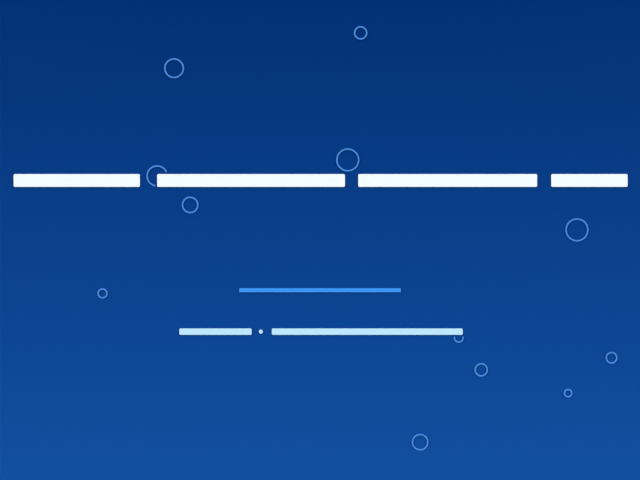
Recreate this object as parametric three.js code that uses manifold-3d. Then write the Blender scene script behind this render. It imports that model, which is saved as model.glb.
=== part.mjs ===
// A landscape wall sign: a flat composite panel whose face carries thin raised rings, a short rule
// and blank strips where lines of text would stand. A square-tube frame bonded to the back hangs on
// the wall's hooks, and four rubber pads keep it off the wall.
//
// Millimetres, +Z up. The face looks towards -Y and the wall is towards +Y. The origin is the middle
// of the top rail's underside, where the hooks carry the sign.

import * as THREE from 'three';
import { mergeVertices } from 'three/addons/utils/BufferGeometryUtils.js';
import Module from 'manifold-3d';

const wasm = await Module();
wasm.setup();

// The panel is a stock sheet in the shape of four to three.
const PANEL_WIDTH = 400;
const PANEL_HEIGHT = 300;
const PANEL_THICKNESS = 3;
const PANEL_CORNER = 0.5;

// The rear frame is mitred from square aluminium tube.
const RAIL_SIDE = 12;
const RAIL_WALL = 1.2;
const FRAME_INSET = 45;
const MITRE_JOINT = 0.3;

// The pads stand on the back of the two level rails, in from their ends.
const PAD_DIAMETER = 10;
const PAD_THICKNESS = 2;
const PAD_EDGE = 0.6;
const PAD_FROM_END = 20;

// Pads and the dot are turned in this many steps.
const DISC_STEPS = 24;

// Everything that is bonded on keeps this bond line to what carries it.
const BOND_LINE = 0.3;

// The raised pieces of the face. With the bond line under them they stand 0.8 mm proud of it.
const RELIEF = 0.5;
const RING_LINE = 1;
const RING_EDGE = 0.15;
const STRIP_CORNER = 0.8;
const CORNER_STEPS = 4;
const CLEARANCE = 0.6;

// Each ring: how far right of and above the face's centre its own centre is, and its mean radius.
const RINGS = [
  [-90.75, 106.75, 5.75],
  [25.25, 128.75, 3.75],
  [-101.25, 39.75, 6.25],
  [17.25, 49.75, 6.75],
  [-80.75, 21.75, 4.75],
  [159.75, 6.25, 6.75],
  [-135.25, -33.25, 2.75],
  [86.25, -60.75, 2.75],
  [100.25, -80.75, 3.75],
  [181.25, -73.25, 3.25],
  [154.25, -95.25, 2.25],
  [62.25, -125.75, 4.75],
];

// The blank strips: the left and right end of each, in two lines that share a height.
const TITLE_LINE = {
  middle: 37,
  height: 8,
  spans: [[-190.5, -112], [-101.25, 15.5], [23.75, 135], [143.75, 191.25]],
};
const CAPTION_LINE = {
  middle: -57,
  height: 4,
  spans: [[-87.5, -42.5], [-30, 88.75]],
};
const CAPTION_DOT = { x: -36.75, diameter: 2.5 };
const RULE = { middle: -31.25, height: 2.5, width: 100.5 };

// Planes of the stack, from the wall side to the face.
const PANEL_BACK_Y = -(RAIL_SIDE / 2 + BOND_LINE);
const PANEL_FACE_Y = PANEL_BACK_Y - PANEL_THICKNESS;
const RELIEF_BACK_Y = PANEL_FACE_Y - BOND_LINE;
const PAD_FOOT_Y = RAIL_SIDE / 2 + BOND_LINE;

// The face's centre lies below the origin by what the rail and the inset take from half the height.
const FACE_CENTRE_Z = RAIL_SIDE + FRAME_INSET - PANEL_HEIGHT / 2;

const printedPanel = new THREE.MeshStandardMaterial({ color: 0x0a408b, roughness: 0.3, metalness: 0 });
const ringBlue = new THREE.MeshStandardMaterial({ color: 0x4686da, roughness: 0.4, metalness: 0 });
const ruleBlue = new THREE.MeshStandardMaterial({ color: 0x3d94f2, roughness: 0.4, metalness: 0 });
const titleWhite = new THREE.MeshStandardMaterial({ color: 0xf4feff, roughness: 0.4, metalness: 0 });
const captionBlue = new THREE.MeshStandardMaterial({ color: 0xbee8ff, roughness: 0.4, metalness: 0 });
const aluminium = new THREE.MeshStandardMaterial({ color: 0xb9bcc0, roughness: 0.4, metalness: 1 });
const rubber = new THREE.MeshStandardMaterial({ color: 0x1c1c1e, roughness: 0.8, metalness: 0 });

const group = new THREE.Group();

// The face's own plane: local x runs right, local y runs up and local z stands out of the face.
const face = new THREE.Group();
face.position.set(0, RELIEF_BACK_Y, FACE_CENTRE_Z);
face.rotation.x = Math.PI / 2;
group.add(face);

function addMesh(parent, name, geometry, material) {
  const mesh = new THREE.Mesh(geometry, material);
  mesh.name = name;
  parent.add(mesh);
  return mesh;
}

function roundedRectangle(left, right, bottom, top, corner) {
  const outline = new THREE.Shape();
  outline.moveTo(left + corner, bottom);
  outline.lineTo(right - corner, bottom);
  outline.absarc(right - corner, bottom + corner, corner, -Math.PI / 2, 0, false);
  outline.lineTo(right, top - corner);
  outline.absarc(right - corner, top - corner, corner, 0, Math.PI / 2, false);
  outline.lineTo(left + corner, top);
  outline.absarc(left + corner, top - corner, corner, Math.PI / 2, Math.PI, false);
  outline.lineTo(left, bottom + corner);
  outline.absarc(left + corner, bottom + corner, corner, Math.PI, 1.5 * Math.PI, false);
  return outline;
}

function plate(outline, thickness) {
  return new THREE.ExtrudeGeometry(outline, {
    depth: thickness,
    bevelEnabled: false,
    curveSegments: CORNER_STEPS,
  });
}

function toSolid(geometry) {
  const bare = geometry.clone();
  bare.deleteAttribute('normal');
  bare.deleteAttribute('uv');
  const merged = mergeVertices(bare);
  return new wasm.Manifold(new wasm.Mesh({
    numProp: 3,
    vertProperties: new Float32Array(merged.attributes.position.array),
    triVerts: new Uint32Array(merged.index.array),
  }));
}

function toGeometry(solid) {
  const mesh = solid.getMesh();
  const geometry = new THREE.BufferGeometry();
  geometry.setAttribute('position', new THREE.BufferAttribute(mesh.vertProperties, 3));
  geometry.setIndex(new THREE.BufferAttribute(mesh.triVerts, 1));
  geometry.computeVertexNormals();
  return geometry;
}

// Panel

function addPanel() {
  const halfWidth = PANEL_WIDTH / 2;
  const halfHeight = PANEL_HEIGHT / 2;
  const outline = roundedRectangle(-halfWidth, halfWidth, -halfHeight, halfHeight, PANEL_CORNER);
  const panel = addMesh(group, 'panel', plate(outline, PANEL_THICKNESS), printedPanel);
  panel.position.set(0, PANEL_BACK_Y, FACE_CENTRE_Z);
  panel.rotation.x = Math.PI / 2;
}

// Blank strips, the dot between two of them, and the rule

function stripBoxes(line) {
  return line.spans.map(([left, right]) => ({
    left,
    right,
    bottom: line.middle - line.height / 2,
    top: line.middle + line.height / 2,
  }));
}

function addStrips(name, boxes, material) {
  boxes.forEach((box, index) => {
    const outline = roundedRectangle(box.left, box.right, box.bottom, box.top, STRIP_CORNER);
    addMesh(face, `${name}_${index + 1}`, plate(outline, RELIEF), material);
  });
}

function addDot() {
  const dot = new THREE.CylinderGeometry(
    CAPTION_DOT.diameter / 2, CAPTION_DOT.diameter / 2, RELIEF, DISC_STEPS,
  );
  dot.rotateX(Math.PI / 2);
  const mesh = addMesh(face, 'caption_dot', dot, captionBlue);
  mesh.position.set(CAPTION_DOT.x, CAPTION_LINE.middle, RELIEF / 2);
}

function addRule() {
  const half = RULE.height / 2;
  const outline = roundedRectangle(
    -RULE.width / 2, RULE.width / 2, RULE.middle - half, RULE.middle + half, RING_EDGE,
  );
  addMesh(face, 'rule', plate(outline, RELIEF), ruleBlue);
}

// Rings: a flat-footed section with eased outer edges, turned once round. A ring that would run
// under a strip is cut short of it, as if the strip lay over it.

function ringGeometry(radius) {
  const inner = radius - RING_LINE / 2;
  const outer = radius + RING_LINE / 2;
  const shoulder = RELIEF - RING_EDGE;
  const section = [
    [inner, 0], [outer, 0], [outer, shoulder], [outer - RING_EDGE, RELIEF],
    [inner + RING_EDGE, RELIEF], [inner, shoulder], [inner, 0],
  ].map(([x, y]) => new THREE.Vector2(x, y));
  const steps = 4 * Math.round(5 + radius / 2);
  const ring = new THREE.LatheGeometry(section, steps);
  ring.rotateX(Math.PI / 2);
  return ring;
}

function reaches(box, x, y, radius) {
  const outer = radius + RING_LINE / 2 + CLEARANCE;
  const nearX = Math.min(Math.max(x, box.left), box.right);
  const nearY = Math.min(Math.max(y, box.bottom), box.top);
  return Math.hypot(nearX - x, nearY - y) < outer;
}

function keepClear(ring, box) {
  const width = box.right - box.left + 2 * CLEARANCE;
  const height = box.top - box.bottom + 2 * CLEARANCE;
  const cutter = new THREE.BoxGeometry(width, height, 4 * RELIEF);
  cutter.translate((box.left + box.right) / 2, (box.bottom + box.top) / 2, 0);
  return toGeometry(toSolid(ring).subtract(toSolid(cutter)));
}

function addRings(boxes) {
  RINGS.forEach(([x, y, radius], index) => {
    let ring = ringGeometry(radius);
    ring.translate(x, y, 0);
    for (const box of boxes.filter((each) => reaches(each, x, y, radius))) {
      ring = keepClear(ring, box);
    }
    addMesh(face, `ring_${String(index + 1).padStart(2, '0')}`, ring, ringBlue);
  });
}

// Rear frame: each rail is a square tube along x whose ends are cut at 45 degrees, short on its
// inner side, then turned to its side of the frame.

function railGeometry(length) {
  const half = RAIL_SIDE / 2;
  const hollow = half - RAIL_WALL;
  const section = roundedRectangle(-half, half, -half, half, RAIL_WALL / 2);
  section.holes.push(new THREE.Path([
    new THREE.Vector2(-hollow, -hollow),
    new THREE.Vector2(-hollow, hollow),
    new THREE.Vector2(hollow, hollow),
    new THREE.Vector2(hollow, -hollow),
  ]));
  const rail = plate(section, length);
  rail.rotateY(Math.PI / 2);
  rail.translate(-length / 2, 0, 0);
  const points = rail.attributes.position;
  for (let i = 0; i < points.count; i += 1) {
    const end = Math.sign(points.getX(i));
    const short = half - points.getZ(i) + MITRE_JOINT / Math.SQRT2;
    points.setX(i, points.getX(i) - end * short);
  }
  rail.computeVertexNormals();
  return rail;
}

function addFrame() {
  const width = PANEL_WIDTH - 2 * FRAME_INSET;
  const height = PANEL_HEIGHT - 2 * FRAME_INSET;
  const sides = [
    ['rail_top', width, height, 0],
    ['rail_right', height, width, 1],
    ['rail_bottom', width, height, 2],
    ['rail_left', height, width, 3],
  ];
  for (const [name, length, span, quarterTurns] of sides) {
    const turn = (quarterTurns * Math.PI) / 2;
    const rail = addMesh(group, name, railGeometry(length), aluminium);
    const reach = (span - RAIL_SIDE) / 2;
    rail.rotation.y = turn;
    rail.position.set(reach * Math.sin(turn), 0, FACE_CENTRE_Z + reach * Math.cos(turn));
  }
}

// Pads

function padGeometry() {
  const radius = PAD_DIAMETER / 2;
  const section = [
    [0, 0], [radius, 0], [radius, PAD_THICKNESS - PAD_EDGE],
    [radius - PAD_EDGE, PAD_THICKNESS], [0, PAD_THICKNESS],
  ].map(([x, y]) => new THREE.Vector2(x, y));
  return new THREE.LatheGeometry(section, DISC_STEPS);
}

function addPads() {
  const x = PANEL_WIDTH / 2 - FRAME_INSET - PAD_FROM_END;
  const z = PANEL_HEIGHT / 2 - FRAME_INSET - RAIL_SIDE / 2;
  for (const [level, up] of [['top', 1], ['bottom', -1]]) {
    for (const [side, right] of [['left', -1], ['right', 1]]) {
      const pad = addMesh(group, `pad_${level}_${side}`, padGeometry(), rubber);
      pad.position.set(right * x, PAD_FOOT_Y, FACE_CENTRE_Z + up * z);
    }
  }
}

const titleBoxes = stripBoxes(TITLE_LINE);
const captionBoxes = stripBoxes(CAPTION_LINE);

addPanel();
addRings([...titleBoxes, ...captionBoxes]);
addStrips('title_strip', titleBoxes, titleWhite);
addRule();
addStrips('caption_strip', captionBoxes, captionBlue);
addDot();
addFrame();
addPads();

export default group;
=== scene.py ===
# %% [markdown]
# A landscape wall sign. Its face is a print that runs from dark blue at the top to a lighter blue at
# the foot, with thin raised rings, a short rule and two lines of blank strips. Behind it a frame of
# square tube hangs on the wall's hooks.
#
# The first cell loads the sign's solids as a fixed frame. Everything after it dresses them.

# %% Load the frame
import math

import bmesh
import bpy
from mathutils import Matrix, Vector


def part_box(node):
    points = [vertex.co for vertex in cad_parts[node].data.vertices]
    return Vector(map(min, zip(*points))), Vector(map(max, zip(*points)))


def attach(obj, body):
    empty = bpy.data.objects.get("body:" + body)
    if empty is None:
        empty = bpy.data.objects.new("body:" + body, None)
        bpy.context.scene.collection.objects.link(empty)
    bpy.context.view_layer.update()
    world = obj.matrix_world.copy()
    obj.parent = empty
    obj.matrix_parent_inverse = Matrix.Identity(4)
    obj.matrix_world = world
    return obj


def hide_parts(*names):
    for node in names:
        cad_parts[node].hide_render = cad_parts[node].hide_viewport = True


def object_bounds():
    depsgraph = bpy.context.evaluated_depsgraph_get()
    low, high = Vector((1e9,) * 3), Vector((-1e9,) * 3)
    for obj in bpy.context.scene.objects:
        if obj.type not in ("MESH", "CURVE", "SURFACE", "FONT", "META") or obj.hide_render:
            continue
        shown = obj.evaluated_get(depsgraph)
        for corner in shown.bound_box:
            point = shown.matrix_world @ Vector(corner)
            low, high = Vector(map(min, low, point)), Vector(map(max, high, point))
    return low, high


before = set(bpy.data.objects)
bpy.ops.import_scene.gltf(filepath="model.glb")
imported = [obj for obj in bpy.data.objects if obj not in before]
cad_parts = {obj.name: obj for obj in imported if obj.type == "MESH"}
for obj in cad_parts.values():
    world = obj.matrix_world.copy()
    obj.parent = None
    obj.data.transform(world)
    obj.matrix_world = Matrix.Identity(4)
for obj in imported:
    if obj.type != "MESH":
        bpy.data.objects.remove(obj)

MM = 0.001
solid_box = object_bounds()
print("solids span", [round(x / MM, 1) for x in solid_box[1] - solid_box[0]], "mm")

# %% [markdown]
# Every piece is placed from the solids' own boxes, so nothing is measured twice. The panel's box
# gives the planes of the face and of the back. The face looks along -Y, so a lower y is further out.
# The three axes get names, because an axis is often asked for by its number.

# %% Planes and measures
X, Y, Z = range(3)
panel_low, panel_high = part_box("panel")
FACE_Y = panel_low.y
BACK_Y = panel_high.y
FACE_CENTRE = Vector((0, FACE_Y, (panel_low.z + panel_high.z) / 2))
FACE_WIDTH = panel_high.x - panel_low.x
FACE_HEIGHT = panel_high.z - panel_low.z
RELIEF_TOP_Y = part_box("rule")[0].y
FILM = FACE_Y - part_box("rule")[1].y
print("face", round(FACE_WIDTH / MM), "by", round(FACE_HEIGHT / MM), "mm")
print("relief", round((FACE_Y - RELIEF_TOP_Y) / MM, 2), "mm on", round(FILM / MM, 2), "mm of film")

# %% [markdown]
# Colours are easiest to pick as sRGB hex values, the way a screen shows them, but shaders work in
# linear light. One function turns the one into the other along the standard sRGB curve. A second one
# adds a shader node, fills in its settings and links it, which keeps each material short enough to
# read. A third starts a material and hands back where on the object it is, as the Object coordinate.

# %% Colour and nodes
def colour(hexadecimal):
    """Turns an sRGB hex value into linear light."""
    channels = [int(hexadecimal[i:i + 2], 16) / 255 for i in (1, 3, 5)]
    linear = [c / 12.92 if c <= 0.04045 else ((c + 0.055) / 1.055) ** 2.4 for c in channels]
    return (*linear, 1)


def add_node(tree, kind, settings=None, inputs=None):
    """Adds a node. An input given as a socket is linked, and any other value is set."""
    node = tree.nodes.new(kind)
    for name, value in (settings or {}).items():
        setattr(node, name, value)
    for name, value in (inputs or {}).items():
        if isinstance(value, bpy.types.NodeSocket):
            tree.links.new(value, node.inputs[name])
        else:
            node.inputs[name].default_value = value
    return node


def new_material(name, inputs):
    """A material with one principled shader, whose plain values are set on its own sockets."""
    material = bpy.data.materials.new(name)
    material.use_nodes = True
    tree = material.node_tree
    shader = tree.nodes["Principled BSDF"]
    for socket, value in inputs.items():
        shader.inputs[socket].default_value = value
    place = add_node(tree, "ShaderNodeTexCoord").outputs["Object"]
    return material, tree, shader, place


print("a middle grey on the screen is", round(colour("#808080")[0], 2), "in linear light")

# %% [markdown]
# No real surface is the same all over. Each material below has a pattern of its own, drawn by noise
# whose grain is a real length, long or short along each axis. Blender's noise takes the number of
# grains in a metre instead, so the helper turns the one into the other. The pattern then serves up to
# three times: it shades the colour, it changes the gloss, and it raises the surface by a few hundredths
# of a millimetre at most. So what is dusty is also dull and rough.

# %% Patterns
# The Mix node has a set of sockets for each kind of data. These are its colour ones.
MIX_AMOUNT, MIX_FIRST, MIX_SECOND, MIX_RESULT = 0, 6, 7, 2


def stretched_noise(tree, place, grain, detail=2.0, roughness=0.5):
    """Noise whose grain is given in metres along x, y and z."""
    mapping = add_node(
        tree,
        "ShaderNodeMapping",
        {"vector_type": "POINT"},
        {"Vector": place, "Scale": [1 / g for g in grain]},
    )
    noise = add_node(
        tree,
        "ShaderNodeTexNoise",
        {"noise_dimensions": "3D"},
        {
            "Vector": mapping.outputs["Vector"],
            "Scale": 1.0,
            "Detail": detail,
            "Roughness": roughness,
        },
    )
    return noise.outputs["Fac"]


def ranged(tree, value, low, high):
    """Spreads a pattern of 0 to 1 between two values."""
    node = add_node(
        tree, "ShaderNodeMapRange", None, {"Value": value, "To Min": low, "To Max": high}
    )
    return node.outputs["Result"]


def bumped(tree, shader, height, depth, strength):
    """Raises the surface by a pattern, by at most the depth in metres."""
    node = add_node(
        tree,
        "ShaderNodeBump",
        None,
        {"Height": height, "Distance": depth, "Strength": strength},
    )
    tree.links.new(node.outputs["Normal"], shader.inputs["Normal"])


def shaded_between(tree, shader, value, dark, light):
    """Mixes two close shades of one colour by a pattern."""
    mix = add_node(
        tree,
        "ShaderNodeMix",
        {"data_type": "RGBA"},
        {MIX_AMOUNT: value, MIX_FIRST: colour(dark), MIX_SECOND: colour(light)},
    )
    tree.links.new(mix.outputs[MIX_RESULT], shader.inputs["Base Color"])


def glossed_between(tree, shader, value, shiny, dull):
    """Lets a pattern carry the roughness from its shiniest to its dullest."""
    tree.links.new(ranged(tree, value, shiny, dull), shader.inputs["Roughness"])


print("a grain of 1 mm is a noise scale of", round(1 / MM))

# %% [markdown]
# The face is an inkjet print on aluminium composite sheet under a clear laminate. The ink makes one
# smooth change of blue from top to foot, and the laminate gives a thin, even gloss with the faint
# orange peel that a roller leaves. The change runs along the sheet's height, so the material reads
# the Object coordinate z, which keeps the print still when the sign is seen from elsewhere. Its steps
# are even as a screen shows them and not in linear light, in which a colour ramp works, so the ramp
# gets five stops instead of two.

# %% Printed laminate
PRINT_BLUES = ("#124F9F", "#0D4795", "#09408A", "#04387F", "#003175")
PEEL_GRAIN = 0.9 * MM


def printed_laminate():
    material, tree, shader, place = new_material(
        "printed_laminate",
        {"IOR": 1.49, "Specular IOR Level": 0.15},
    )
    height = add_node(tree, "ShaderNodeSeparateXYZ", None, {"Vector": place}).outputs["Z"]
    along = add_node(
        tree,
        "ShaderNodeMapRange",
        None,
        {"Value": height, "From Min": panel_low.z, "From Max": panel_high.z},
    ).outputs["Result"]
    ramp = add_node(tree, "ShaderNodeValToRGB", None, {"Fac": along})
    stops = ramp.color_ramp.elements
    stops[0].color = colour(PRINT_BLUES[0])
    stops[1].color = colour(PRINT_BLUES[-1])
    for step, blue in enumerate(PRINT_BLUES[1:-1], start=1):
        stops.new(step / (len(PRINT_BLUES) - 1)).color = colour(blue)
    tree.links.new(ramp.outputs["Color"], shader.inputs["Base Color"])
    peel = stretched_noise(tree, place, (PEEL_GRAIN,) * 3)
    glossed_between(tree, shader, peel, shiny=0.2, dull=0.26)
    bumped(tree, shader, peel, depth=0.004 * MM, strength=0.3)
    return material


face_print = printed_laminate()
print("material", face_print.name)

# %% [markdown]
# Where the saw went through the sheet, its three layers show. The two skins are bare aluminium,
# bright and faintly scored along the cut. The core is black polyethylene, matt and a little furry
# from the saw's teeth. The back is lacquered at the mill in a pale grey, with faint streaks along
# the sheet from the coating rollers.

# %% Cut edge and lacquered back
SAW_PITCH = 0.5 * MM
SCORE_WIDTH = 0.1 * MM
TOOTH_RUN = 3 * MM
STREAK_LENGTH = 60 * MM
STREAK_DEPTH = 1 * MM
STREAK_WIDTH = 0.6 * MM


def sawn_aluminium():
    material, tree, shader, place = new_material(
        "sawn_aluminium",
        {"Metallic": 1.0, "Base Color": colour("#D6D8DA")},
    )
    score = stretched_noise(tree, place, (SAW_PITCH, SCORE_WIDTH, SAW_PITCH))
    glossed_between(tree, shader, score, shiny=0.25, dull=0.45)
    bumped(tree, shader, score, depth=0.01 * MM, strength=0.5)
    return material


def sawn_polyethylene():
    material, tree, shader, place = new_material("sawn_polyethylene", {"IOR": 1.51})
    teeth = stretched_noise(tree, place, (SAW_PITCH, TOOTH_RUN, SAW_PITCH), detail=4.0)
    shaded_between(tree, shader, teeth, "#17181A", "#2C2E31")
    glossed_between(tree, shader, teeth, shiny=0.55, dull=0.8)
    bumped(tree, shader, teeth, depth=0.04 * MM, strength=0.6)
    return material


def mill_lacquer():
    material, tree, shader, place = new_material("mill_lacquer", {"IOR": 1.5})
    grain = (STREAK_LENGTH, STREAK_DEPTH, STREAK_WIDTH)
    streaks = stretched_noise(tree, place, grain, detail=3.0)
    shaded_between(tree, shader, streaks, "#B9BDC0", "#C6CACC")
    glossed_between(tree, shader, streaks, shiny=0.4, dull=0.52)
    bumped(tree, shader, streaks, depth=0.006 * MM, strength=0.4)
    return material


edge_skin = sawn_aluminium()
edge_core = sawn_polyethylene()
back_coat = mill_lacquer()
print("materials", edge_skin.name, edge_core.name, back_coat.name)

# %% [markdown]
# The raised pieces are cast acrylic, coloured right through and cut by laser. Cast acrylic is hard
# and clear-skinned, so it shines more than the laminate and keeps a clean, even colour. A very slight
# cloudiness in the colour and a few hair-fine rub marks stop it from looking like flat paint. Four
# pieces differ only in colour, so one function makes them all. Under each lies adhesive film, a thin
# grey line when it is seen from the side.

# %% Cast acrylic and adhesive film
CLOUD_SIZE = 6 * MM
RUB_LENGTH = 8 * MM
RUB_DEPTH = 1 * MM
RUB_WIDTH = 0.15 * MM
FILM_CELL = 0.2 * MM


def cast_acrylic(name, dark, light):
    material, tree, shader, place = new_material(name, {"IOR": 1.49, "Specular IOR Level": 0.3})
    cloud = stretched_noise(tree, place, (CLOUD_SIZE,) * 3)
    shaded_between(tree, shader, cloud, dark, light)
    rubs = stretched_noise(tree, place, (RUB_LENGTH, RUB_DEPTH, RUB_WIDTH))
    glossed_between(tree, shader, rubs, shiny=0.18, dull=0.3)
    bumped(tree, shader, rubs, depth=0.002 * MM, strength=0.3)
    return material


def adhesive_film():
    material, tree, shader, place = new_material("adhesive_film", {"IOR": 1.47})
    cells = stretched_noise(tree, place, (FILM_CELL,) * 3)
    shaded_between(tree, shader, cells, "#3E4247", "#50555B")
    glossed_between(tree, shader, cells, shiny=0.5, dull=0.7)
    return material


acrylic_title = cast_acrylic("cast_acrylic_white", "#F2FCFE", "#F6FEFF")
acrylic_caption = cast_acrylic("cast_acrylic_pale_blue", "#BCE6FD", "#C0EAFF")
acrylic_rule = cast_acrylic("cast_acrylic_bright_blue", "#3C94F2", "#4098F6")
acrylic_ring = cast_acrylic("cast_acrylic_light_blue", "#468BDD", "#4A8EE1")
film = adhesive_film()
print("materials", acrylic_title.name, acrylic_caption.name, acrylic_rule.name, acrylic_ring.name)

# %% [markdown]
# The rear frame is extruded aluminium with a satin anodised skin. Anodising keeps the metal's look but
# dulls its mirror, and the die leaves fine lines along the tube. A rail that lies along x and one that
# stands along z need those lines in different directions, so the function takes the direction. The
# pads are moulded rubber, nearly black, with a fine matt grain and a little grey dust.

# %% Anodised tube and moulded rubber
DIE_LINE = 0.25 * MM
DIE_RUN = 80 * MM
DUST_SIZE = 1.5 * MM


def anodised_tube(name, run_axis):
    material, tree, shader, place = new_material(name, {"Metallic": 1.0})
    grain = [DIE_LINE] * 3
    grain[run_axis] = DIE_RUN
    lines = stretched_noise(tree, place, grain, detail=3.0)
    shaded_between(tree, shader, lines, "#B2B5B9", "#C2C5C8")
    glossed_between(tree, shader, lines, shiny=0.32, dull=0.46)
    bumped(tree, shader, lines, depth=0.008 * MM, strength=0.5)
    return material


def moulded_rubber():
    material, tree, shader, place = new_material("moulded_rubber", {"IOR": 1.52})
    dust = stretched_noise(tree, place, (DUST_SIZE,) * 3, detail=5.0, roughness=0.7)
    shaded_between(tree, shader, dust, "#161617", "#29292B")
    glossed_between(tree, shader, dust, shiny=0.65, dull=0.85)
    bumped(tree, shader, dust, depth=0.05 * MM, strength=0.5)
    return material


tube_level = anodised_tube("anodised_tube_level", X)
tube_upright = anodised_tube("anodised_tube_upright", Z)
rubber = moulded_rubber()
print("materials", tube_level.name, tube_upright.name, rubber.name)

# %% [markdown]
# Each piece is built in a bmesh and then turned into an object in one way: its shading is smooth on
# the faces of its curves and stays flat on the faces that lie square to an axis, so that an eased edge
# doesn't pull the light across a flat sheet. It rides on the sign's one body and it hides the plain
# solid that it stands for. Its place stays in its mesh.

# %% From bmesh to piece
HAIR = 0.001 * MM
SHARP_CORNER = math.radians(40)
SQUARE_ON = 0.9999


def finish_piece(shape, name, materials, slot, *nodes):
    bmesh.ops.remove_doubles(shape, verts=shape.verts, dist=HAIR)
    mesh = bpy.data.meshes.new(name)
    shape.to_mesh(mesh)
    shape.free()
    for material in materials:
        mesh.materials.append(material)
    mesh.set_sharp_from_angle(angle=SHARP_CORNER)
    for face in mesh.polygons:
        face.use_smooth = max(abs(c) for c in face.normal) < SQUARE_ON
    piece = bpy.data.objects.new(name, mesh)
    bpy.context.scene.collection.objects.link(piece)
    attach(piece, "root")
    if nodes:
        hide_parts(*nodes)
    return piece


print("edges of more than", round(math.degrees(SHARP_CORNER)), "degrees stay sharp")

# %% [markdown]
# Most pieces of the sign are sheet, cut square and then eased along some edges. So four helpers come
# before them: a block between two corners, a bevel with even settings, and two ways to pick the edges
# that it eases, by their direction and by the plane in which they lie.

# %% Blocks and eased edges
STRAIGHT = 0.99


def edges_along(shape, axis):
    """The edges that run along one axis."""
    return [
        e for e in shape.edges
        if abs((e.verts[0].co - e.verts[1].co).normalized()[axis]) > STRAIGHT
    ]


def edges_at(shape, y):
    """The edges that lie in the plane of one y."""
    return [e for e in shape.edges if all(abs(v.co.y - y) < HAIR for v in e.verts)]


def block(low, high):
    """A bmesh cube stretched to the box between two corners."""
    shape = bmesh.new()
    bmesh.ops.create_cube(shape, size=1)
    size = Vector(high) - Vector(low)
    bmesh.ops.scale(shape, vec=size, verts=shape.verts)
    bmesh.ops.translate(shape, vec=(Vector(low) + Vector(high)) / 2, verts=shape.verts)
    return shape


def ease(shape, edges, radius, segments):
    """Rounds edges with a bevel."""
    bmesh.ops.bevel(
        shape,
        geom=edges,
        offset=radius,
        offset_type="OFFSET",
        affect="EDGES",
        segments=segments,
        profile=0.5,
        material=-1,
    )


trial = block((0, 0, 0), (1, 1, 1))
print("a block has", len(edges_along(trial, Y)), "edges along y,", len(edges_at(trial, 0)), "in front")
trial.free()

# %% [markdown]
# The panel starts as one block. Its four corners are rounded, two cuts mark where the skins end and
# the core begins, and the band between them is sunk a little, as a saw pulls the soft core back from
# the hard skins. Last, the sharp arris of both faces is eased. Each face then takes its layer's
# material by where it lies. One closed mesh keeps the sheet whole, as the real one is bonded.

# %% Composite panel
SKIN = 0.3 * MM
CORNER = 0.5 * MM
ARRIS = 0.12 * MM
CORE_STEP = 0.02 * MM
CORE_SINK = 0.08 * MM
# An eased edge shows the print or the lacquer where its normal leans at least this far along y.
LEANING = 0.2

PRINTED, SKIN_EDGE, CORE_EDGE, LACQUERED = range(4)


def composite_panel():
    shape = block(panel_low, panel_high)
    ease(shape, edges_along(shape, Y), CORNER, segments=4)
    for y in (FACE_Y + SKIN, BACK_Y - SKIN):
        bmesh.ops.bisect_plane(
            shape,
            geom=shape.verts[:] + shape.edges[:] + shape.faces[:],
            dist=HAIR,
            plane_co=(0, y, 0),
            plane_no=(0, 1, 0),
        )
    band = [
        f for f in shape.faces
        if FACE_Y + SKIN < f.calc_center_median().y < BACK_Y - SKIN
    ]
    bmesh.ops.inset_region(
        shape,
        faces=band,
        thickness=CORE_STEP,
        depth=-CORE_SINK,
        use_boundary=True,
        use_even_offset=True,
    )
    core = set(band)
    ease(shape, edges_at(shape, FACE_Y) + edges_at(shape, BACK_Y), ARRIS, segments=3)
    for face in shape.faces:
        y = face.calc_center_median().y
        if face.normal.y < -LEANING and y < FACE_Y + SKIN / 2:
            face.material_index = PRINTED
        elif face.normal.y > LEANING and y > BACK_Y - SKIN / 2:
            face.material_index = LACQUERED
        elif face in core:
            face.material_index = CORE_EDGE
        else:
            face.material_index = SKIN_EDGE
    finishes = [face_print, edge_skin, edge_core, back_coat]
    return finish_piece(shape, "panel_sheet", finishes, "printed_face", "panel")


panel_sheet = composite_panel()
print("panel faces", len(panel_sheet.data.polygons))

# %% [markdown]
# A strip of acrylic is a block with round corners and an eased front edge, where the laser's edge was
# broken by hand. Its back face is inset and drawn out to the panel, which makes the film that holds it:
# the film is cut a little short of the strip, so that it doesn't show from the front.

# %% Strips and rule
STRIP_CORNER = 0.8 * MM
RULE_CORNER = 0.15 * MM
FRONT_EASE = 0.12 * MM
FILM_SHORT = 0.15 * MM

MAIN, ADHESIVE = range(2)


def foot_of_film(shape, back_y):
    """Insets the back face and draws it out to the panel's face."""
    back = [f for f in shape.faces if f.calc_center_median().y > back_y - HAIR]
    bmesh.ops.inset_region(shape, faces=back, thickness=FILM_SHORT, use_even_offset=True)
    drawn = bmesh.ops.extrude_face_region(shape, geom=back)
    bmesh.ops.delete(shape, geom=back, context="FACES_ONLY")
    moved = [g for g in drawn["geom"] if isinstance(g, bmesh.types.BMVert)]
    bmesh.ops.translate(shape, vec=(0, FACE_Y - back_y, 0), verts=moved)
    for face in shape.faces:
        beneath = face.calc_center_median().y > back_y + HAIR
        face.material_index = ADHESIVE if beneath else MAIN


def acrylic_strip(node, acrylic, slot, corner):
    low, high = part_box(node)
    shape = block(low, high)
    ease(shape, edges_along(shape, Y), corner, segments=5)
    ease(shape, edges_at(shape, low.y), FRONT_EASE, segments=3)
    foot_of_film(shape, high.y)
    return finish_piece(shape, f"{node}_plate", [acrylic, film], slot, node)


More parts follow.
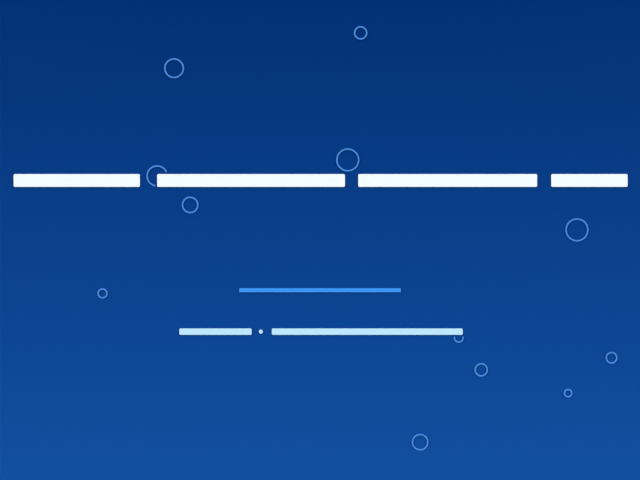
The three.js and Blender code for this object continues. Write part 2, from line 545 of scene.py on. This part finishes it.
for number in range(1, 5):
    acrylic_strip(f"title_strip_{number}", acrylic_title, "title_acrylic", STRIP_CORNER)
for number in range(1, 3):
    acrylic_strip(f"caption_strip_{number}", acrylic_caption, "caption_acrylic", STRIP_CORNER)
acrylic_strip("rule", acrylic_rule, "rule_acrylic", RULE_CORNER)
print("strips stand", round((FACE_Y - RELIEF_TOP_Y) / MM, 2), "mm off the face")

# %% [markdown]
# Two of the rings meet a strip and end short of it, as if the sign maker had cut them to fit. So the
# first question for each ring is which part of its circle is free. Walking round the circle in small
# steps and asking at each one whether a strip is near finds the longest free part.

# %% Free part of a ring
RING_LINE = 1 * MM
CLEARANCE = 0.6 * MM
FREE_STEPS = 720


def ring_place(node):
    """Centre and mean radius from the solid's box.

    A cut ring still has its left side and, to within 0.1 mm, its foot and its longer span.
    """
    low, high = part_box(node)
    outer = max(high.x - low.x, high.z - low.z) / 2
    return Vector((low.x + outer, 0, low.z + outer)), outer - RING_LINE / 2


def free_arc(centre, radius, strips):
    """The start and the sweep of the longest part of the circle that stays clear of the strips."""
    near = CLEARANCE + RING_LINE / 2

    def is_free(step):
        angle = math.tau * step / FREE_STEPS
        x = centre.x + radius * math.cos(angle)
        z = centre.z + radius * math.sin(angle)
        return not any(
            low.x - near < x < high.x + near and low.z - near < z < high.z + near
            for low, high in strips
        )

    blocked = [step for step in range(FREE_STEPS) if not is_free(step)]
    if not blocked:
        return 0.0, math.tau
    gaps = [((after - before) % FREE_STEPS or FREE_STEPS, before)
            for before, after in zip(blocked, blocked[1:] + blocked[:1])]
    length, before = max(gaps)
    return math.tau * (before + 1) / FREE_STEPS, math.tau * (length - 2) / FREE_STEPS


strip_nodes = [f"title_strip_{n}" for n in range(1, 5)] + [f"caption_strip_{n}" for n in range(1, 3)]
strip_boxes = [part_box(node) for node in strip_nodes]
ring_nodes = sorted(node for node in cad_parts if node.startswith("ring_"))
free_arcs = {node: free_arc(*ring_place(node), strip_boxes) for node in ring_nodes}
for node, (start, sweep) in free_arcs.items():
    if sweep < math.tau:
        print(node, "is cut to", round(math.degrees(sweep)), "degrees")

# %% [markdown]
# A ring is a small section swept round a circle, which is what spin does. The section is drawn once, at
# the ring's radius: the film's foot, the shoulder of the acrylic over it, and two eased front corners,
# each with one point in its middle. A whole ring closes on itself. A cut one is swept over the free
# part only, and its two ends are filled.

# %% Rings
RING_EASE = 0.15 * MM
# The middle of an eased corner lies about this far in from both of its sides.
EASE_MIDDLE = RING_EASE / 3
RING_STEPS = 96


def ring_section(shape, radius):
    """The section's outline in the plane of x and y, at the ring's right."""
    inner = radius - RING_LINE / 2
    outer = radius + RING_LINE / 2
    top, shoulder, foot = RELIEF_TOP_Y, FACE_Y - FILM, FACE_Y
    outline = [
        (inner + FILM_SHORT, foot), (outer - FILM_SHORT, foot), (outer - FILM_SHORT, shoulder),
        (outer, shoulder), (outer, top + RING_EASE), (outer - EASE_MIDDLE, top + EASE_MIDDLE),
        (outer - RING_EASE, top), (inner + RING_EASE, top), (inner + EASE_MIDDLE, top + EASE_MIDDLE),
        (inner, top + RING_EASE), (inner, shoulder), (inner + FILM_SHORT, shoulder),
    ]
    corners = [shape.verts.new((x, y, 0)) for x, y in outline]
    return [shape.edges.new(pair) for pair in zip(corners, corners[1:] + corners[:1])]


def raised_ring(node, start, sweep):
    centre, radius = ring_place(node)
    whole = sweep == math.tau
    shape = bmesh.new()
    section = ring_section(shape, radius)
    bmesh.ops.rotate(shape, verts=shape.verts, matrix=Matrix.Rotation(-start, 3, "Y"))
    bmesh.ops.spin(
        shape,
        geom=shape.verts[:] + section,
        cent=(0, 0, 0),
        axis=(0, -1, 0),
        dvec=(0, 0, 0),
        angle=sweep,
        steps=round(RING_STEPS * sweep / math.tau),
        use_merge=whole,
        use_duplicate=False,
    )
    if not whole:
        bmesh.ops.holes_fill(shape, edges=[e for e in shape.edges if e.is_boundary], sides=0)
    bmesh.ops.recalc_face_normals(shape, faces=shape.faces)
    for face in shape.faces:
        beneath = face.calc_center_median().y > FACE_Y - FILM + HAIR
        face.material_index = ADHESIVE if beneath else MAIN
    bmesh.ops.translate(shape, vec=centre, verts=shape.verts)
    return finish_piece(shape, f"{node}_bead", [acrylic_ring, film], "ring_acrylic", node)


for node, (start, sweep) in free_arcs.items():
    raised_ring(node, start, sweep)
print("rings", len(free_arcs))

# %% [markdown]
# The dot between the two pale strips is a tiny disc of the same acrylic. A half section that starts and
# ends on the disc's axis, spun once round it, closes on itself at both middles.

# %% Turned discs
DISC_STEPS = 48


def turned_disc(node, outline, facing, finishes, slot, foot_y):
    """Spins a half section, given as radius and height off the foot, round the disc's own axis."""
    low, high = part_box(node)
    shape = bmesh.new()
    points = [shape.verts.new((r, facing * h, 0)) for r, h in outline]
    edges = [shape.edges.new(pair) for pair in zip(points, points[1:])]
    bmesh.ops.spin(
        shape,
        geom=points + edges,
        cent=(0, 0, 0),
        axis=(0, 1, 0),
        dvec=(0, 0, 0),
        angle=math.tau,
        steps=DISC_STEPS,
        use_merge=True,
        use_duplicate=False,
    )
    bmesh.ops.remove_doubles(shape, verts=shape.verts, dist=HAIR)
    bmesh.ops.recalc_face_normals(shape, faces=shape.faces)
    for face in shape.faces:
        beneath = abs(face.calc_center_median().y) < FILM - HAIR
        face.material_index = ADHESIVE if beneath else MAIN
    middle = (low + high) / 2
    bmesh.ops.translate(shape, vec=(middle.x, foot_y, middle.z), verts=shape.verts)
    return finish_piece(shape, f"{node}_turned", finishes, slot, node)


dot_low, dot_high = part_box("caption_dot")
dot_radius = (dot_high.x - dot_low.x) / 2
dot_height = FACE_Y - dot_low.y
dot_outline = [
    (0, 0), (dot_radius - FILM_SHORT, 0), (dot_radius - FILM_SHORT, FILM), (dot_radius, FILM),
    (dot_radius, dot_height - RING_EASE), (dot_radius - EASE_MIDDLE, dot_height - EASE_MIDDLE),
    (dot_radius - RING_EASE, dot_height), (0, dot_height),
]
turned_disc("caption_dot", dot_outline, -1, [acrylic_caption, film], "caption_acrylic", FACE_Y)
print("dot", round(2 * dot_radius / MM, 1), "mm across")

# %% [markdown]
# The rails are square tube with slightly round corners. A tube's section starts as one square face:
# bevelling its corners rounds them, insetting it marks the wall, and deleting the middle leaves the
# ring of the wall.

# %% Tube section
TUBE_WALL = 1.2 * MM
TUBE_CORNER = 0.6 * MM


def tube_section(side):
    shape = bmesh.new()
    bmesh.ops.create_grid(shape, x_segments=1, y_segments=1, size=side / 2)
    bmesh.ops.bevel(
        shape,
        geom=shape.verts[:],
        offset=TUBE_CORNER,
        offset_type="OFFSET",
        affect="VERTICES",
        segments=4,
        profile=0.5,
        material=-1,
    )
    middle = shape.faces[:]
    bmesh.ops.inset_region(
        shape,
        faces=middle,
        thickness=TUBE_WALL,
        use_boundary=True,
        use_even_offset=True,
    )
    bmesh.ops.delete(shape, geom=middle, context="FACES")
    return shape


print("tube wall", round(TUBE_WALL / MM, 1), "mm, corner", round(TUBE_CORNER / MM, 1), "mm")

# %% [markdown]
# Extruding that ring gives a tube. Two slanted cuts take its ends off at 45 degrees, short on the inner
# side, and bridging the inner and outer loop of each cut closes the wall again. All four rails are made
# lying along x and are then turned to their side of the frame.

# %% Mitred rails
def mitred_rail(node, turn, finish):
    """Built along x with its outer side up, then turned to its side of the frame."""
    low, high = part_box(node)
    size = high - low
    side = min(size.x, size.z)
    length = max(size.x, size.z)
    shape = tube_section(side)
    drawn = bmesh.ops.extrude_face_region(shape, geom=shape.faces[:])
    moved = [g for g in drawn["geom"] if isinstance(g, bmesh.types.BMVert)]
    bmesh.ops.translate(shape, vec=(0, 0, length), verts=moved)
    bmesh.ops.translate(shape, vec=(0, 0, -length / 2), verts=shape.verts)
    bmesh.ops.rotate(shape, verts=shape.verts, matrix=Matrix.Rotation(math.pi / 2, 3, "Y"))
    for end in (-1, 1):
        cut = bmesh.ops.bisect_plane(
            shape,
            geom=shape.verts[:] + shape.edges[:] + shape.faces[:],
            dist=HAIR,
            plane_co=(end * length / 2, 0, side / 2),
            plane_no=(end, 0, -1),
            clear_outer=True,
        )
        rim = [g for g in cut["geom_cut"] if isinstance(g, bmesh.types.BMEdge)]
        bmesh.ops.bridge_loops(shape, edges=rim)
    bmesh.ops.recalc_face_normals(shape, faces=shape.faces)
    bmesh.ops.rotate(shape, verts=shape.verts, matrix=Matrix.Rotation(turn, 3, "Y"))
    bmesh.ops.translate(shape, vec=(low + high) / 2, verts=shape.verts)
    return finish_piece(shape, f"{node}_tube", [finish], "aluminium_tube", node)


mitred_rail("rail_top", 0, tube_level)
mitred_rail("rail_right", math.pi / 2, tube_upright)
mitred_rail("rail_bottom", math.pi, tube_level)
mitred_rail("rail_left", -math.pi / 2, tube_upright)

# %% [markdown]
# A corner key pushed into both tubes holds each mitre, and only the thin black flange between the two
# cuts shows. It is sawn from the same plastic as the sheet's core, so it shares that material. The
# tubes are held to the panel by strips of the same film as the raised pieces. Both kinds of part are
# plain and nearly hidden, so eased blocks, turned and placed, are all that they need.

# %% Corner keys and rail film
KEY_GAP = 0.3 * MM
KEY_SLACK = 0.02 * MM
KEY_SHY = 0.25 * MM
KEY_SHORT = 1 * MM
TAPE_SHY = 1 * MM
SOFT_CORNER = 0.4 * MM


def corner_key(name, inner, outer):
    """A flange that fills the mitre between the frame's inner and outer corner."""
    middle = (inner + outer) / 2
    diagonal = outer - inner
    length = diagonal.length - KEY_SHORT
    depth = top_high.y - top_low.y - 2 * KEY_SHY
    half = Vector((length / 2, depth / 2, KEY_GAP / 2 - KEY_SLACK))
    shape = block(-half, half)
    ease(shape, edges_along(shape, Z), SOFT_CORNER, segments=3)
    angle = math.atan2(diagonal.z, diagonal.x)
    bmesh.ops.rotate(shape, verts=shape.verts, matrix=Matrix.Rotation(-angle, 3, "Y"))
    bmesh.ops.translate(shape, vec=middle, verts=shape.verts)
    return finish_piece(shape, name, [edge_core], "pad_rubber")


top_low, top_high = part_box("rail_top")
bottom_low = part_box("rail_bottom")[0]
tube_side = top_high.z - top_low.z
left_low, right_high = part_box("rail_left")[0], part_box("rail_right")[1]
for level, outer_z, inward in (("top", top_high.z, -1), ("bottom", bottom_low.z, 1)):
    for side, outer_x, toward in (("left", left_low.x, 1), ("right", right_high.x, -1)):
        outer_corner = Vector((outer_x, 0, outer_z))
        inner_corner = outer_corner + Vector((toward, 0, inward)) * tube_side
        corner_key(f"corner_key_{level}_{side}", inner_corner, outer_corner)


def rail_film(node):
    low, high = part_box(node)
    level = high.x - low.x > high.z - low.z
    shy = Vector((tube_side if level else TAPE_SHY, 0, TAPE_SHY))
    shape = block(Vector((low.x, BACK_Y, low.z)) + shy, Vector((high.x, low.y, high.z)) - shy)
    ease(shape, edges_along(shape, Y), SOFT_CORNER, segments=2)
    return finish_piece(shape, f"{node}_film", [film], "pad_rubber")


for node in ("rail_top", "rail_right", "rail_bottom", "rail_left"):
    rail_film(node)
print("keys and film placed, gap", round(KEY_GAP / MM, 2), "mm")

# %% [markdown]
# The pads are small moulded rubber discs that keep the frame off the wall. Each has a flat contact face,
# a well rounded shoulder and a slight draught on its side from the mould. The dot's spin serves again,
# this time facing the wall.

# %% Rubber pads
PAD_DRAUGHT = 0.25 * MM
PAD_SHOULDER = 0.6 * MM
SHOULDER_STEPS = 5


def quarter_round(rim, height, radius):
    """Points of a quarter circle from the side up to the top."""
    angles = [math.pi / 2 * step / SHOULDER_STEPS for step in range(SHOULDER_STEPS + 1)]
    return [
        (rim - radius * (1 - math.cos(a)), height - radius * (1 - math.sin(a)))
        for a in angles
    ]


rail_back_y = top_high.y
for node in ("pad_top_left", "pad_top_right", "pad_bottom_left", "pad_bottom_right"):
    pad_low, pad_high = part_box(node)
    pad_radius = (pad_high.x - pad_low.x) / 2
    pad_height = pad_high.y - rail_back_y
    pad_outline = [
        (0, 0), (pad_radius - FILM_SHORT, 0), (pad_radius - FILM_SHORT, FILM), (pad_radius, FILM),
        *quarter_round(pad_radius - PAD_DRAUGHT, pad_height, PAD_SHOULDER), (0, pad_height),
    ]
    turned_disc(node, pad_outline, 1, [rubber, film], "pad_rubber", rail_back_y)
print("pads", round(2 * pad_radius / MM, 1), "mm across")

# %% [markdown]
# The studio's floor is plain, pale and matt, with a mottle so faint and wide that it only keeps the
# shadows from looking printed. It lies half a millimetre under the sign. A real studio keeps a print
# clear of light thrown up by the floor, or the print's foot would look brighter than its top. Here the
# floor simply isn't seen by the rays that light and mirror the sign.

# %% Floor
FLOOR_DROP = 0.5 * MM
FLOOR_SIZE = 30
MOTTLE_SIZE = 400 * MM


def painted_floor():
    material, tree, shader, place = new_material("painted_floor", {"Specular IOR Level": 0.02})
    mottle = stretched_noise(tree, place, (MOTTLE_SIZE,) * 3, detail=4.0)
    shaded_between(tree, shader, mottle, "#D3D4D6", "#D8D9DB")
    glossed_between(tree, shader, mottle, shiny=0.7, dull=0.8)
    return material


floor_shape = bmesh.new()
bmesh.ops.create_grid(floor_shape, x_segments=1, y_segments=1, size=FLOOR_SIZE / 2)
bmesh.ops.translate(floor_shape, vec=(0, 0, solid_box[0].z - FLOOR_DROP), verts=floor_shape.verts)
floor_mesh = bpy.data.meshes.new("floor")
floor_shape.to_mesh(floor_mesh)
floor_shape.free()
floor_mesh.materials.append(painted_floor())
floor = bpy.data.objects.new("floor", floor_mesh)
floor.visible_diffuse = False
floor.visible_glossy = False
bpy.context.scene.collection.objects.link(floor)
print("floor at", round((solid_box[0].z - FLOOR_DROP) / MM, 1), "mm")

# %% [markdown]
# A flat print has to be lit evenly from edge to edge. Lamps close by would fall off across it, so the
# lamps are suns, which don't. Two stand well to the sides, where their mirror image in the gloss misses
# the camera, as copy lamps do for a painting. Two more light the back. Each is wide, which softens the
# shadows of the raised pieces.

# %% Suns
SUN_WIDTH = math.radians(30)
FRONT_AZIMUTH, FRONT_ELEVATION, FRONT_STRENGTH = 45, 18, 1.76
BACK_AZIMUTH, BACK_ELEVATION, BACK_STRENGTH = 140, 25, 1.1


def add_sun(name, azimuth, elevation, strength):
    """A sun that shines from an azimuth (0 is in front of the face) and a height above the floor."""
    a, e = math.radians(azimuth), math.radians(elevation)
    towards_sun = Vector((math.sin(a) * math.cos(e), -math.cos(a) * math.cos(e), math.sin(e)))
    light = bpy.data.lights.new(name, "SUN")
    light.energy = strength
    light.angle = SUN_WIDTH
    sun = bpy.data.objects.new(name, light)
    sun.rotation_euler = towards_sun.to_track_quat("Z", "Y").to_euler()
    bpy.context.scene.collection.objects.link(sun)


add_sun("sun_front_left", -FRONT_AZIMUTH, FRONT_ELEVATION, FRONT_STRENGTH)
add_sun("sun_front_right", FRONT_AZIMUTH, FRONT_ELEVATION, FRONT_STRENGTH)
add_sun("sun_back_left", -BACK_AZIMUTH, BACK_ELEVATION, BACK_STRENGTH)
add_sun("sun_back_right", BACK_AZIMUTH, BACK_ELEVATION, BACK_STRENGTH)
print("lamps", len(bpy.data.lights))

# %% [markdown]
# The room round the sign is an even pale grey that fills the shadows. Straight ahead of the face it
# darkens smoothly into a cone, as where a black cloth hangs behind the photographer: what the gloss
# mirrors towards the camera is then dark, and the deep blues stay deep. The camera itself sees plain
# pale air in every direction.

# %% World
AIR = "#EAECEF"
ROOM = "#C8CACC"
# Cosines of the angle off straight ahead: all dark within 37 degrees of it, all light past 57.
DARK_CONE = 0.80
DARK_EDGE = 0.55


def studio_world():
    world = bpy.data.worlds.new("studio")
    world.use_nodes = True
    tree = world.node_tree
    tree.nodes.clear()
    look = add_node(tree, "ShaderNodeTexCoord").outputs["Generated"]
    ahead = add_node(
        tree,
        "ShaderNodeVectorMath",
        {"operation": "DOT_PRODUCT"},
        {0: look, 1: (0, -1, 0)},
    ).outputs["Value"]
    open_room = add_node(
        tree,
        "ShaderNodeMapRange",
        {"interpolation_type": "SMOOTHSTEP"},
        {"Value": ahead, "From Min": DARK_EDGE, "From Max": DARK_CONE, "To Min": 1.0, "To Max": 0.0},
    ).outputs["Result"]
    room = add_node(
        tree, "ShaderNodeBackground", None, {"Color": colour(ROOM), "Strength": open_room}
    )
    air = add_node(tree, "ShaderNodeBackground", None, {"Color": colour(AIR), "Strength": 1.0})
    seen = add_node(tree, "ShaderNodeLightPath").outputs["Is Camera Ray"]
    both = add_node(
        tree,
        "ShaderNodeMixShader",
        None,
        {0: seen, 1: room.outputs["Background"], 2: air.outputs["Background"]},
    )
    add_node(tree, "ShaderNodeOutputWorld", None, {"Surface": both.outputs["Shader"]})
    return world


bpy.context.scene.world = studio_world()
view_settings = bpy.context.scene.view_settings
view_settings.view_transform = "Standard"
view_settings.look = "None"
print("world", bpy.context.scene.world.name)

# %% [markdown]
# The picture shows the face square on and filling the frame to its edges, with no perspective at all.
# A long lens comes near to that. Its distance is the one at which the face's width just fills the
# frame, less a pixel and a half on each side. A pixel also takes in a little light from just past
# its own edge, so a smaller margin would leave pale specks of the room along the top and the foot.

# %% Camera
LENS = 100
SENSOR = 36
FRAME_WIDTH_PX = 640
OVERFILL_PX = 1.5

camera_data = bpy.data.cameras.new("camera")
camera_data.lens = LENS
camera_data.sensor_width = SENSOR
camera_data.dof.use_dof = False
filled = 1 - 2 * OVERFILL_PX / FRAME_WIDTH_PX
distance = FACE_WIDTH * filled * LENS / SENSOR
camera = bpy.data.objects.new("camera", camera_data)
camera.location = FACE_CENTRE + Vector((0, -distance, 0))
camera.rotation_euler = (math.pi / 2, 0, 0)
bpy.context.scene.collection.objects.link(camera)
bpy.context.scene.camera = camera
print("camera stands", round(distance, 3), "m from the face")

# %% [markdown]
# The last line brings the view layer up to date, so that every piece stands where it was built.

# %% Finish
bpy.context.view_layer.update()
